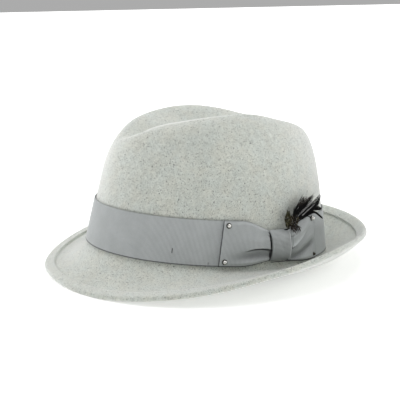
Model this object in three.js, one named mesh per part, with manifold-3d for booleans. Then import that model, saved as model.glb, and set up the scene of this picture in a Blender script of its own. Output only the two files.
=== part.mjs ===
// A felt trilby: one felt body with a teardrop crown and a welted snap brim, a grosgrain band, a flat bow
// with a wrapped knot, four round studs at the bow's corners and a small feather tucked in behind the knot.
// Millimetres, +Z up, the hat's front towards -Y and the wearer's left, where the bow is, towards +X.
// It is modelled on its head plane, the plane of the band's lower edge, and then stood on the table.
import * as THREE from "three";
import Module from "manifold-3d";

// Felt body
const crownLength = 208; // outside of the crown at the band's lower edge, front to back
const crownWidth = 173; // the same, side to side
const crownHeight = 114; // head plane to the top of the ridge
const wallLean = 9.3; // degrees that the crown's wall leans in
const feltThickness = 2.4;
const dentDepth = 24; // ridge's top to the floor of the teardrop dent
const dentMiddle = 6; // how far in front of the crown's middle the dent is deepest
const ridgeWidth = 95.5; // across the two ridges at their widest
const ridgeFront = 81; // from the crown's middle to the front tip of the teardrop
const ridgeBack = 67.5; // and to its back
const ridgeSkew = 1.15; // the crown is creased by hand: the ridge on the bow's side stands this much higher
const pinchDepth = 3.3; // how far each front dent is pressed in
const brimLength = 271; // front edge to back edge, as bent
const brimWidth = 265; // side to side, as bent
const brimShift = 2.2; // how far the brim's middle lies in front of the crown's
const brimDip = 23.5; // how far the front edge hangs below the head plane
const breakRadius = 3.2; // the felt's turn from wall to brim
const weltWidth = 7.5; // the brim's edge is folded up over the top and sewn down
const weltLift = 2.2;
const flattening = 0.7; // how much of the felt is pressed flat where the hat rests

// Ribbon trim
const bandHeight = 35;
const ribbonThickness = 1;
const gap = 0.3; // clearance kept between pieces
const knotAngle = 102.5; // degrees round from the front to the knot's middle
const knotWidth = 18.5;
const knotHeight = 24;
const knotDepth = 6.6;
const knotRise = 3.5; // the knot's lower end above the band's lower edge
const frontTabLength = 41.5; // from the knot's side to the bow's front end
const frontTabSlant = 3; // how much longer that tab is at its lower corner than at its upper one
const backTabLength = 32.5;
const tabThickness = 2.2;
const tabPuff = 2.8; // how far the gathers stand out next to the knot
const tabTuck = 4; // over this length a tab dips to go in under the knot
const backTabRise = 1.4; // how far the back tab covers the band's upper edge
const bandCovered = 0.34; // share of a tab's length that lies over the band's end
const studRadius = 1.7;
const studInset = 3.7; // from the tab's end, and from its long edges, to the stud's middle

// Feather
const featherLength = 41;
const featherRoot = 6.5; // from the knot's middle back to the root of the locks
const featherThickness = 0.9;
const featherTolerance = 0.05; // crumbs of its fused surface smaller than this are smoothed away
const featherStandoff = 7.4; // how far its locks stand off the felt where they pass over the back tab

const columns = 72; // faces round the hat
const up = new THREE.Vector3(0, 0, 1);
const radians = THREE.MathUtils.degToRad;
const mix = THREE.MathUtils.lerp;
const smooth = (value, low, high) => THREE.MathUtils.smoothstep(value, low, high);

// The brim's edge round from the front to the back. Rise is a share of the dip, and leave and arrive are
// the slopes, in degrees above the level, with which the brim leaves the crown and comes to its edge.
const brimStations = [
  { rise: -1.0, leave: -48, arrive: -9 },
  { rise: -0.98, leave: -44, arrive: -10 },
  { rise: -0.49, leave: -22, arrive: -4 },
  { rise: 0.31, leave: -2, arrive: 24 },
  { rise: 0.88, leave: 8, arrive: 45 },
  { rise: 0.92, leave: 15, arrive: 50 },
  { rise: 0.97, leave: 20, arrive: 52 },
];

// The crown's top round from the front to the back. Crest is the ridge's height and turn the height at
// which the wall starts to round over, both as shares of the crown's height. Fullness is how far the
// shoulder fills out its corner, and edge how sharp the ridge is, as a share of the dent's half width.
const crownStations = [
  { crest: 0.764, turn: 0.505, fullness: 0.59, edge: 0.38 },
  { crest: 0.893, turn: 0.623, fullness: 0.65, edge: 0.2 },
  { crest: 0.984, turn: 0.645, fullness: 0.695, edge: 0.22 },
  { crest: 0.936, turn: 0.431, fullness: 0.618, edge: 0.3 },
  { crest: 0.879, turn: 0.43, fullness: 0.6, edge: 0.46 },
];

// Reads one column of a table of stations, which lie evenly from the front (0) to the back (180 degrees),
// alike on both sides of the hat.
function around(stations, column, degrees) {
  const last = stations.length - 1;
  const turned = Math.abs(((degrees + 180) % 360 + 360) % 360 - 180);
  const place = (turned / 180) * last;
  const from = Math.min(Math.floor(place), last - 1);
  const at = (i) => stations[i < 0 ? -i : i > last ? 2 * last - i : i][column];
  const [a, b, c, d] = [at(from - 1), at(from), at(from + 1), at(from + 2)];
  const t = place - from;
  const bend = (2 * a - 5 * b + 4 * c - d) * t * t + (3 * b - a - 3 * c + d) * t * t * t;
  return b + 0.5 * ((c - a) * t + bend);
}

// An oval in plan, with its own reach to the front, the side and the back. Power shapes its flanks: over 1
// it runs to a point, and under 1 it is blunt.
function oval(degrees, front, side, back, power = 1) {
  const angle = radians(degrees);
  const forward = Math.cos(angle);
  const across = Math.sin(angle);
  const x = side * Math.sign(across) * Math.abs(across) ** power;
  return new THREE.Vector3(x, -forward * (forward > 0 ? front : back), 0);
}

// The crown's straight wall at a height above the head plane. Between two columns it runs straight, so that
// the trim keeps its clearance from the felt's flat faces.
function wallPoint(degrees, height) {
  const inset = height * Math.tan(radians(wallLean));
  const column = (corner) =>
    oval(corner, crownLength / 2 - inset, crownWidth / 2 - inset, crownLength / 2 - inset).setZ(height);
  const turn = 360 / columns;
  const corner = Math.floor(degrees / turn + 1e-9) * turn;
  return column(corner).lerp(column(corner + turn), (degrees - corner) / turn);
}

function ridgePoint(degrees) {
  const power = 1.02 + 0.28 * Math.cos(radians(degrees));
  const point = oval(degrees, ridgeFront, ridgeWidth / 2, ridgeBack, power);
  const angle = radians(degrees);
  const skew = ridgeSkew * Math.sin(angle) * (0.4 - Math.cos(angle));
  return point.setZ(crownHeight * around(crownStations, "crest", degrees) + skew);
}

const dentFloor = new THREE.Vector3(0, -dentMiddle, crownHeight - dentDepth);
const edgeRadius = (feltThickness + weltLift) / 2; // the fold at the brim's edge is half round

// The middle line of the brim's edge, before the fold's rounding is added.
function brimEdge(degrees) {
  const reach = brimLength / 2 - edgeRadius;
  const point = oval(degrees, reach + brimShift, brimWidth / 2 - edgeRadius, reach - brimShift);
  return point.setZ(brimDip * around(brimStations, "rise", degrees));
}

// The felt's upper and outer surface as a run of curves, from the floor of the dent to the brim's edge.
function meridian(degrees) {
  const base = wallPoint(degrees, 0);
  const turn = wallPoint(degrees, crownHeight * around(crownStations, "turn", degrees));
  const wallUp = turn.clone().sub(base).normalize();
  const crest = ridgePoint(degrees);
  const inward = dentFloor.clone().sub(crest).setZ(0);
  const halfDent = inward.length();
  inward.normalize();
  const fullness = around(crownStations, "fullness", degrees);
  const rise = crest.z - turn.z;
  const run = Math.hypot(crest.x - turn.x, crest.y - turn.y);
  const sharp = around(crownStations, "edge", degrees);

  const edge = brimEdge(degrees);
  const outward = edge.clone().sub(base).setZ(0);
  const reach = outward.length();
  outward.normalize();
  const sloped = (name) => {
    const slope = radians(around(brimStations, name, degrees));
    return outward.clone().multiplyScalar(Math.cos(slope)).setZ(Math.sin(slope));
  };
  const leaving = sloped("leave");
  const corner = base.clone().addScaledVector(wallUp, -breakRadius);
  const brimStart = corner.clone().addScaledVector(leaving, breakRadius);
  const hold = (reach - breakRadius) * 0.4;

  const step = (from, along, length) => from.clone().addScaledVector(along, length);
  return {
    dent: new THREE.CubicBezierCurve3(
      dentFloor.clone(),
      step(dentFloor, inward, -halfDent * 0.42),
      step(crest, inward, halfDent * sharp),
      crest,
    ),
    shoulder: new THREE.CubicBezierCurve3(
      crest,
      step(crest, inward, -run * fullness * sharp * 2),
      step(turn, wallUp, rise * fullness),
      turn,
    ),
    wall: new THREE.LineCurve3(turn, base),
    bend: new THREE.QuadraticBezierCurve3(base, corner, brimStart),
    brim: new THREE.CubicBezierCurve3(
      brimStart,
      step(brimStart, leaving, hold),
      step(edge, sloped("arrive"), -hold),
      edge,
    ),
  };
}

// The two dents that are pinched in at the crown's front, one each side.
function pinch(degrees, point) {
  const turned = Math.abs(((degrees + 180) % 360 + 360) % 360 - 180);
  const round = Math.exp(-(((turned - 42) / 22) ** 2));
  const high = Math.exp(-(((point.z / crownHeight - 0.74) / 0.16) ** 2));
  return pinchDepth * round * high;
}

function feltPoint(degrees, piece, t) {
  const point = meridian(degrees)[piece].getPoint(t);
  if (piece === "bend" || piece === "brim") return point;
  const outward = new THREE.Vector3(point.x, point.y - dentFloor.y, 0).normalize();
  return point.addScaledVector(outward, -pinch(degrees, point));
}

function feltNormal(degrees, piece, t) {
  const turn = 0.5;
  const low = Math.max(t - 0.02, 0.001);
  const high = Math.min(t + 0.02, 1);
  const round = feltPoint(degrees + turn, piece, t).sub(feltPoint(degrees - turn, piece, t));
  const down = feltPoint(degrees, piece, high).sub(feltPoint(degrees, piece, low));
  return down.cross(round).normalize();
}

// Rows of the felt's section. Lift is measured from the outer surface along its normal.
const rows = (piece, places, lift = 0) => places.map((t) => ({ piece, t, lift }));
const underside = -feltThickness;
const brimRun = (brimLength - crownLength) / 2; // near enough the brim's own width, for sharing out the welt
const weltStart = 1 - weltWidth / Math.hypot(brimRun, brimDip);
const edgeSteps = 4;
const feltRows = [
  ...rows("dent", [0.16, 0.32, 0.48, 0.64, 0.8, 0.92, 1]),
  ...rows("shoulder", [0.14, 0.3, 0.48, 0.68, 0.86]),
  ...rows("wall", [0, 0.25, 0.5, 0.75, 1]),
  ...rows("bend", [0.5]),
  ...rows("brim", [0, 0.2, 0.4, 0.6, weltStart - 0.002]),
  ...rows("brim", [weltStart, 0.92, 1], weltLift),
  ...Array.from({ length: edgeSteps - 1 }, (_, i) => ({ piece: "edge", t: (i + 1) / edgeSteps })),
  ...rows("brim", [1, 0.92, weltStart, 0.6, 0.32, 0.12, 0.04], underside),
  ...rows("bend", [0.85, 0.5, 0.2], underside),
  ...rows("wall", [0.96, 0.5, 0], underside),
  ...rows("shoulder", [0.8, 0.55, 0.34, 0.16], underside),
  ...rows("dent", [1, 0.88, 0.72, 0.52, 0.32, 0.14], underside),
];

function sectionPoint(degrees, { piece, t, lift }) {
  if (piece !== "edge") return feltPoint(degrees, piece, t).addScaledVector(feltNormal(degrees, piece, t), lift);
  const normal = feltNormal(degrees, "brim", 1);
  const outward = meridian(degrees).brim.getTangent(1);
  const middle = feltPoint(degrees, "brim", 1).addScaledVector(normal, weltLift - edgeRadius);
  const turn = Math.PI * t;
  middle.addScaledVector(normal, edgeRadius * Math.cos(turn));
  return middle.addScaledVector(outward, edgeRadius * Math.sin(turn));
}

function geometryFrom(points, faces) {
  const geometry = new THREE.BufferGeometry().setFromPoints(points);
  geometry.setIndex(faces.flat());
  geometry.computeVertexNormals();
  return geometry;
}

// Joins rows of points, each a closed ring of the same count, and closes the two ends on a point each.
function spunSolid(rings, firstPole, lastPole) {
  const count = rings[0].length;
  const points = [firstPole, ...rings.flat(), lastPole];
  const at = (row, column) => 1 + row * count + (column % count);
  const faces = [];
  for (let column = 0; column < count; column += 1) {
    faces.push([0, at(0, column), at(0, column + 1)]);
    for (let row = 0; row < rings.length - 1; row += 1) {
      const [a, b] = [at(row, column), at(row, column + 1)];
      const [c, d] = [at(row + 1, column), at(row + 1, column + 1)];
      faces.push([a, c, d], [a, d, b]);
    }
    faces.push([at(rings.length - 1, column + 1), at(rings.length - 1, column), points.length - 1]);
  }
  return geometryFrom(points, faces);
}

// A sheet with an outer and an inner side, both functions of two shares from 0 to 1, closed at its edges.
function sheetSolid(alongSteps, acrossSteps, outer, inner) {
  const points = [];
  for (const side of [outer, inner])
    for (let i = 0; i <= alongSteps; i += 1)
      for (let j = 0; j <= acrossSteps; j += 1) points.push(side(i / alongSteps, j / acrossSteps));
  const layer = (alongSteps + 1) * (acrossSteps + 1);
  const at = (side, i, j) => side * layer + i * (acrossSteps + 1) + j;
  const faces = [];
  const quad = (a, b, c, d) => faces.push([a, b, c], [a, c, d]);
  for (let i = 0; i < alongSteps; i += 1)
    for (let j = 0; j < acrossSteps; j += 1) {
      quad(at(0, i, j), at(0, i + 1, j), at(0, i + 1, j + 1), at(0, i, j + 1));
      quad(at(1, i, j), at(1, i, j + 1), at(1, i + 1, j + 1), at(1, i + 1, j));
    }
  for (let i = 0; i < alongSteps; i += 1) {
    quad(at(0, i, 0), at(1, i, 0), at(1, i + 1, 0), at(0, i + 1, 0));
    quad(at(0, i, acrossSteps), at(0, i + 1, acrossSteps), at(1, i + 1, acrossSteps), at(1, i, acrossSteps));
  }
  for (let j = 0; j < acrossSteps; j += 1) {
    quad(at(0, 0, j), at(0, 0, j + 1), at(1, 0, j + 1), at(1, 0, j));
    quad(at(0, alongSteps, j), at(1, alongSteps, j), at(1, alongSteps, j + 1), at(0, alongSteps, j + 1));
  }
  return geometryFrom(points, faces);
}

// How far round from the front a point lies that is so many millimetres behind the knot's middle, measured
// along the band.
function angleAt(distance) {
  const stride = 0.25 * Math.sign(distance);
  let degrees = knotAngle;
  let left = Math.abs(distance);
  while (left > 1e-9) {
    const length = wallPoint(degrees, 0).distanceTo(wallPoint(degrees + stride, 0));
    degrees += stride * Math.min(1, left / length);
    left -= Math.min(left, length);
  }
  return degrees;
}

function offWall(degrees, height, standoff) {
  const point = wallPoint(degrees, height);
  const round = wallPoint(degrees + 2.5, height).sub(wallPoint(degrees - 2.5, height));
  const upward = wallPoint(degrees, height + 1).sub(point);
  return point.addScaledVector(round.cross(upward).normalize(), standoff);
}

// A point of the trim: so far behind the knot's middle along the band, so high above the band's lower edge,
// and so far out from the felt.
const trimPoint = (distance, height, standoff) => offWall(angleAt(distance), height, standoff);

const bandStandoff = gap + ribbonThickness; // the band's outer side
const tabStandoff = bandStandoff + gap; // the tabs' inner side
const tabStart = knotWidth / 2 + gap;
const knotTop = knotRise + knotHeight;

function bandGeometry() {
  const start = angleAt(tabStart + backTabLength * (1 - bandCovered));
  const end = 360 + angleAt(-tabStart - frontTabLength * (1 - bandCovered));
  const turn = 360 / columns;
  const stations = [start];
  for (let degrees = Math.ceil(start / turn) * turn; degrees < end; degrees += turn) stations.push(degrees);
  stations.push(end);
  const side = (standoff) => (along, across) => {
    const degrees = stations[Math.round(along * (stations.length - 1))];
    return offWall(degrees, mix(gap, bandHeight, across), standoff);
  };
  return sheetSolid(stations.length - 1, 2, side(bandStandoff), side(gap));
}

// The gathers of a tab: each is a fold that starts at the knot and dies out towards the tab's end. Height and
// width are shares of the knot's height, climb is how far the fold rises by the tab's end as a share of the
// band's height, and depth is a share of the tab's puff, below 0 for a crease.
const frontFolds = [
  { height: 0.28, climb: -0.1, width: 0.07, depth: -1.1 },
  { height: 0.1, climb: -0.04, width: 0.1, depth: 0.5 },
  { height: 0.55, climb: 0.1, width: 0.18, depth: 0.5 },
  { height: 0.84, climb: 0.22, width: 0.08, depth: -0.5 },
];
const backFolds = [
  { height: 0.42, climb: 0.5, width: 0.08, depth: -0.9 },
  { height: 0.68, climb: 0.45, width: 0.14, depth: 0.5 },
  { height: 0.22, climb: 0.1, width: 0.16, depth: -0.5 },
  { height: 0.08, climb: 0, width: 0.1, depth: 0.45 },
];
const tabs = [
  { name: "bow_front_tab", direction: -1, length: frontTabLength, slant: frontTabSlant, rise: 0, folds: frontFolds },
  { name: "bow_back_tab", direction: 1, length: backTabLength, slant: 0, rise: backTabRise, folds: backFolds },
];

// A place on a tab, from the knot (0) to the tab's end (1) and from its lower edge (0) to its upper one (1).
function tabPlace(tab, along, across) {
  const opened = smooth(along, -0.12, 0.62);
  const low = mix(knotRise + 1, gap, opened);
  const high = mix(knotTop - 1, bandHeight + tab.rise, opened);
  const length = tab.length + tab.slant * (0.5 - across);
  return { distance: tab.direction * (tabStart + length * along), height: mix(low, high, across) };
}

function tabGeometry(tab) {
  const relief = (along, height) => {
    const fade = (1 - smooth(along, 0, 0.8)) * tabPuff;
    return tab.folds.reduce((sum, fold) => {
      const centre = knotRise + fold.height * knotHeight + fold.climb * bandHeight * along;
      const width = fold.width * knotHeight * (1 + along);
      return sum + fold.depth * fade * Math.exp(-(((height - centre) / width) ** 2));
    }, 0);
  };
  const side = (outer) => (share, across) => {
    const along = tab.direction < 0 ? 1 - share : share;
    const { distance, height } = tabPlace(tab, along, across);
    const puff = tabPuff * 0.5 * (1 - smooth(along, 0.05, 1));
    const hem = smooth(Math.min(across, 1 - across), 0, 0.1);
    const tucked = smooth(along * tab.length, -1, tabTuck);
    const body = mix(tabThickness * 0.5, tabThickness + puff + relief(along, height), hem * tucked);
    return trimPoint(distance, height, tabStandoff + (outer ? Math.max(body, 0.8) : 0));
  };
  return sheetSolid(12, 13, side(true), side(false));
}

// The ribbon that wraps the bow's middle, rounded over like a barrel.
function knotGeometry() {
  const side = (depth) => (along, across) => {
    const waist = 1 - 0.06 * Math.sin(Math.PI * across);
    const distance = (along - 0.5) * knotWidth * waist;
    const over = Math.sin(Math.PI * mix(0.1, 0.9, across)) ** 0.45;
    const belly = Math.sin(Math.PI * mix(0.22, 0.78, along)) ** 0.6;
    return trimPoint(distance, mix(knotRise, knotTop, across), gap + depth * over * belly);
  };
  return sheetSolid(8, 12, side(knotDepth), side(0));
}

// A round-headed stud, seated on a tab's corner. Corner is 0 for the lower one and 1 for the upper one.
const studSides = 12;
const studFlat = 0.72; // the dome goes this far round from its top before the seat cuts it off flat
function studGeometry(tab, corner) {
  const tall = bandHeight + tab.rise - gap;
  const across = corner ? 1 - studInset / tall : studInset / tall;
  const length = tab.length + tab.slant * (0.5 - across);
  const { distance, height } = tabPlace(tab, 1 - studInset / length, across);
  const seatHeight = tabStandoff + tabThickness + gap;
  const seat = trimPoint(distance, height, seatHeight);
  const outward = trimPoint(distance, height, seatHeight + 1).sub(seat).normalize();
  const rim = Math.cos(Math.PI * studFlat) * studRadius;
  const outline = [new THREE.Vector2(0, 0)];
  for (let i = 0; i <= 6; i += 1) {
    const turn = Math.PI * mix(studFlat, 0, i / 6);
    outline.push(new THREE.Vector2(studRadius * Math.sin(turn), studRadius * Math.cos(turn) - rim));
  }
  const geometry = new THREE.LatheGeometry(outline, studSides);
  geometry.applyQuaternion(new THREE.Quaternion().setFromUnitVectors(new THREE.Vector3(0, 1, 0), outward));
  return geometry.translate(seat.x, seat.y, seat.z);
}

// The feather's locks, all from one root at the knot's upper back corner. Lean is in degrees from upright
// towards the hat's back, curl what it gains by the tip, and reach and breadth are shares of the feather's
// length. Tuck is how much closer to the felt the lock lies, in millimetres.
const featherLocks = [
  { lean: -12, curl: 8, reach: 0.28, breadth: 0.16, tuck: 2.2 },
  { lean: 10, curl: 12, reach: 0.4, breadth: 0.16, tuck: 1.4 },
  { lean: 36, curl: 4, reach: 0.6, breadth: 0.14, tuck: 0.8 },
  { lean: 46, curl: 3, reach: 0.83, breadth: 0.1, tuck: 0.4 },
  { lean: 53, curl: 3, reach: 0.9, breadth: 0.09, tuck: -0.4 },
  { lean: 58, curl: -1, reach: 1, breadth: 0.09, tuck: 0 },
  { lean: 66, curl: 8, reach: 0.85, breadth: 0.1, tuck: 0.3 },
  { lean: 69, curl: 22, reach: 0.97, breadth: 0.07, tuck: -0.2 },
  { lean: 76, curl: 10, reach: 0.55, breadth: 0.12, tuck: 0.1 },
  { lean: 88, curl: 34, reach: 0.3, breadth: 0.16, tuck: -0.1 },
];

function lockGeometry({ lean, curl, reach, breadth, tuck }) {
  const length = featherLength * reach;
  const side = (lift) => (along, across) => {
    const heading = radians(lean + curl * along);
    const half = featherLength * breadth * 0.5 * Math.sin(Math.PI * mix(0.16, 0.97, along ** 0.8));
    const aside = (across - 0.5) * 2 * half;
    const distance = featherRoot + length * along * Math.sin(heading) - aside * Math.cos(heading);
    const height = knotTop + 2 + length * along * Math.cos(heading) + aside * Math.sin(heading);
    const standoff = mix(featherStandoff - 2.4 - tuck / 2, featherStandoff - tuck, smooth(along * length, 0, 3));
    return trimPoint(distance, height, standoff + lift);
  };
  return sheetSolid(7, 1, side(featherThickness), side(0));
}

const manifold = await Module();
manifold.setup();

function toManifold(geometry) {
  const vertProperties = new Float32Array(geometry.attributes.position.array);
  const triVerts = new Uint32Array(geometry.index.array);
  return new manifold.Manifold(new manifold.Mesh({ numProp: 3, vertProperties, triVerts }));
}

function fromManifold(solid) {
  const { vertProperties, triVerts, numProp } = solid.getMesh();
  const geometry = new THREE.BufferGeometry();
  const points = [];
  for (let i = 0; i < vertProperties.length; i += numProp)
    points.push(vertProperties[i], vertProperties[i + 1], vertProperties[i + 2]);
  geometry.setAttribute("position", new THREE.Float32BufferAttribute(points, 3));
  geometry.setIndex(Array.from(triVerts));
  geometry.computeVertexNormals();
  return geometry;
}

function featherGeometry() {
  const locks = featherLocks.map((row) => toManifold(lockGeometry(row)));
  return fromManifold(locks.reduce((whole, lock) => whole.add(lock)).simplify(featherTolerance));
}

function feltGeometry() {
  const ring = (row) =>
    Array.from({ length: columns }, (_, i) => sectionPoint((360 / columns) * i, row));
  const inside = dentFloor.clone().addScaledVector(up, -feltThickness);
  return spunSolid(feltRows.map(ring), dentFloor.clone(), inside);
}

// The hat stands on the front of its brim and on the brim's underside at the back, with its front raised.
function standingTilt(geometry) {
  const { array } = geometry.attributes.position;
  const lowest = (tilt, front) => {
    let low = Infinity;
    for (let i = 0; i < array.length; i += 3)
      if (array[i + 1] < 0 === front) low = Math.min(low, array[i + 2] * Math.cos(tilt) - array[i + 1] * Math.sin(tilt));
    return low;
  };
  let [level, steep] = [0, radians(15)];
  for (let i = 0; i < 40; i += 1) {
    const middle = (level + steep) / 2;
    if (lowest(middle, true) < lowest(middle, false)) level = middle;
    else steep = middle;
  }
  return { tilt: level, low: lowest(level, true) };
}

const felt = feltGeometry();
const { tilt, low } = standingTilt(felt);
const standing = new THREE.Matrix4().makeRotationX(-tilt).setPosition(0, 0, -low - flattening);
felt.applyMatrix4(standing);
const feltPositions = felt.attributes.position;
for (let i = 0; i < feltPositions.count; i += 1) feltPositions.setZ(i, Math.max(feltPositions.getZ(i), 0));
felt.computeVertexNormals();
felt.computeBoundingBox();
const middle = felt.boundingBox.getCenter(new THREE.Vector3());

const cloth = (color) => new THREE.MeshStandardMaterial({ color, roughness: 0.95, metalness: 0 });
const trilby = new THREE.Group();
trilby.name = "trilby";

function addPiece(name, geometry, material) {
  const mesh = new THREE.Mesh(geometry, material);
  mesh.name = name;
  mesh.position.set(-middle.x, -middle.y, 0);
  trilby.add(mesh);
}

addPiece("felt_body", felt, cloth(0xc3c4bd));
addPiece("hat_band", bandGeometry().applyMatrix4(standing), cloth(0x87898b));
for (const [i, tab] of tabs.entries()) {
  addPiece(tab.name, tabGeometry(tab).applyMatrix4(standing), cloth(0x838587));
  for (const corner of [0, 1]) {
    const metal = new THREE.MeshStandardMaterial({ color: 0xd9d9d6, roughness: 0.2, metalness: 1 });
    addPiece(`bow_stud_${2 * i + corner + 1}`, studGeometry(tab, corner).applyMatrix4(standing), metal);
  }
}
addPiece("bow_knot", knotGeometry().applyMatrix4(standing), cloth(0x818385));
addPiece("feather", featherGeometry().applyMatrix4(standing), cloth(0x3a3029));

export default trilby;
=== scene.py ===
import math
import random

import bpy
from mathutils import Matrix, Vector


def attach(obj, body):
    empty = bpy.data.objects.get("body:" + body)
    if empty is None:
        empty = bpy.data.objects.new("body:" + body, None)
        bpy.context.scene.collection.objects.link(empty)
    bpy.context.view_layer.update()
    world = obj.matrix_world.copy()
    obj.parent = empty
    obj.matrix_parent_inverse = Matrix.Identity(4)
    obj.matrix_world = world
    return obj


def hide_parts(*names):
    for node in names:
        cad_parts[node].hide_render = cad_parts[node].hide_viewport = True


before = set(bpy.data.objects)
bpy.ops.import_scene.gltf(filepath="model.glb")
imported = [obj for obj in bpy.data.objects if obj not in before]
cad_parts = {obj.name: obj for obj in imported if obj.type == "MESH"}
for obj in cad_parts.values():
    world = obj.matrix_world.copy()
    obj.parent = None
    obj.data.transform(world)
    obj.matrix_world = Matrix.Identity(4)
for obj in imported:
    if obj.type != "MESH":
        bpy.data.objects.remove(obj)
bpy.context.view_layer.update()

# The hat's own measures, in metres. Its head plane is the plane of the band's lower edge.
hat = dict(
    headOrigin=(0.0, 0.00218, 0.01391),
    tilt=math.radians(5.343),
    crownFront=0.104,
    crownSide=0.0865,
    wallLean=math.radians(9.3),
    knotAngle=102.5,
    bandHeight=0.035,
)
ribPitch = 0.00096  # grosgrain ribs, crest to crest


def mix(a, b, t):
    return a + (b - a) * t


def smooth(value, low, high):
    t = min(max((value - low) / (high - low), 0), 1)
    return t * t * (3 - 2 * t)


def bell(value, centre, width):
    return math.exp(-(((value - centre) / width) ** 2))


# Places on the crown's wall

arcSteps = 1440


def wallOval(degrees, height):
    inset = height * math.tan(hat["wallLean"])
    angle = math.radians(degrees)
    x = (hat["crownSide"] - inset) * math.sin(angle)
    y = -(hat["crownFront"] - inset) * math.cos(angle)
    return Vector((x, y, height))


arcTable = [0.0]
for step in range(1, 2 * arcSteps + 1):
    here = wallOval((step - 1) * 360 / arcSteps, 0)
    there = wallOval(step * 360 / arcSteps, 0)
    arcTable.append(arcTable[-1] + (there - here).length)
roundLength = arcTable[arcSteps]


def arcAt(degrees):
    turns, rest = divmod(degrees, 360)
    place = rest / 360 * arcSteps
    low = int(place)
    return turns * roundLength + mix(arcTable[low], arcTable[low + 1], place - low)


knotArc = arcAt(hat["knotAngle"])


def degreesAt(arc):
    turns, rest = divmod(arc, roundLength)
    low, high = 0, arcSteps
    while high - low > 1:
        middle = (low + high) // 2
        if arcTable[middle] <= rest:
            low = middle
        else:
            high = middle
    share = (rest - arcTable[low]) / (arcTable[high] - arcTable[low])
    return turns * 360 + (low + share) * 360 / arcSteps


headTurn = Matrix.Rotation(-hat["tilt"], 3, "X")
headOrigin = Vector(hat["headOrigin"])


def standing(point):
    # from the head plane's frame to the hat as it stands
    return headTurn @ point + headOrigin


def onWall(distance, height, standoff):
    # distance runs back along the band from the knot's middle
    degrees = degreesAt(knotArc + distance)
    point = wallOval(degrees, height)
    ahead = wallOval(degrees + 0.5, height) - wallOval(degrees - 0.5, height)
    upward = wallOval(degrees, height + 0.001) - point
    return standing(point + ahead.cross(upward).normalized() * standoff)


def headPlace(point):
    # from the hat as it stands back to the head plane's frame
    return headTurn.transposed() @ (point - headOrigin)


# Modelling helpers

joining = {"distance": 0.000002, "face": math.radians(60), "shape": math.radians(70)}
creaseAngle = 50  # degrees, for the smooth shading of the ribbons


def setMode(mode):
    bpy.ops.object.mode_set(mode=mode)


def deselectAll():
    if bpy.context.object and bpy.context.object.mode != "OBJECT":
        setMode("OBJECT")
    bpy.ops.object.select_all(action="DESELECT")


def makeActive(piece):
    deselectAll()
    piece.select_set(True)
    bpy.context.view_layer.objects.active = piece


def applyAll(piece):
    makeActive(piece)
    for modifier in list(piece.modifiers):
        bpy.ops.object.modifier_apply(modifier=modifier.name)


def editAll(piece, tool, **settings):
    # one tool of edit mode, on the whole mesh
    makeActive(piece)
    setMode("EDIT")
    bpy.ops.mesh.select_all(action="SELECT")
    tool(**settings)
    bpy.ops.mesh.select_all(action="DESELECT")
    setMode("OBJECT")


def newObject(name, data):
    piece = bpy.data.objects.new(name, data)
    bpy.context.collection.objects.link(piece)
    return piece


def copyOfNode(node, name):
    # a CAD node's mesh as one connected surface of quads
    piece = newObject(name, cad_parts[node].data.copy())
    piece.data.name = name
    editAll(piece, bpy.ops.mesh.remove_doubles, threshold=joining["distance"])
    editAll(piece, bpy.ops.mesh.tris_convert_to_quads, face_threshold=joining["face"],
            shape_threshold=joining["shape"])
    return piece


def ribbonGrid(name, length, width, columns, rows):
    # a flat strip of ribbon: U runs along its length and V across it, both in metres
    deselectAll()
    bpy.ops.mesh.primitive_grid_add(x_subdivisions=columns, y_subdivisions=rows, size=1, location=(0, 0, 0))
    piece = bpy.context.object
    piece.name = piece.data.name = name
    for vertex in piece.data.vertices:
        vertex.co = Vector(((vertex.co.x + 0.5) * length, (vertex.co.y + 0.5) * width, 0))
    uvs = piece.data.uv_layers.active.data
    for loop in piece.data.loops:
        place = piece.data.vertices[loop.vertex_index].co
        uvs[loop.index].uv = (place.x, place.y)
    return piece


def thicken(piece, thickness):
    solid = piece.modifiers.new("thickness", "SOLIDIFY")
    solid.thickness = thickness
    solid.offset = -1
    applyAll(piece)


def refine(piece, name):
    finer = piece.modifiers.new(name, "SUBSURF")
    finer.levels = finer.render_levels = 2
    applyAll(piece)


def paintPoints(piece, name, colours):
    layer = piece.data.color_attributes.new(name, "FLOAT_COLOR", "POINT")
    for index, colour in enumerate(colours):
        layer.data[index].color = (*colour, 1)


def grey(tone):
    return (tone, tone, tone)


def shadeSmooth(piece, degrees=None):
    makeActive(piece)
    if degrees is None:
        bpy.ops.object.shade_smooth()
    else:
        bpy.ops.object.shade_smooth_by_angle(angle=math.radians(degrees))


def finishPiece(piece, node, material):
    piece.data.materials.clear()
    piece.data.materials.append(material)
    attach(piece, "root")
    if node:
        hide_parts(node)


# Materials

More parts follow.
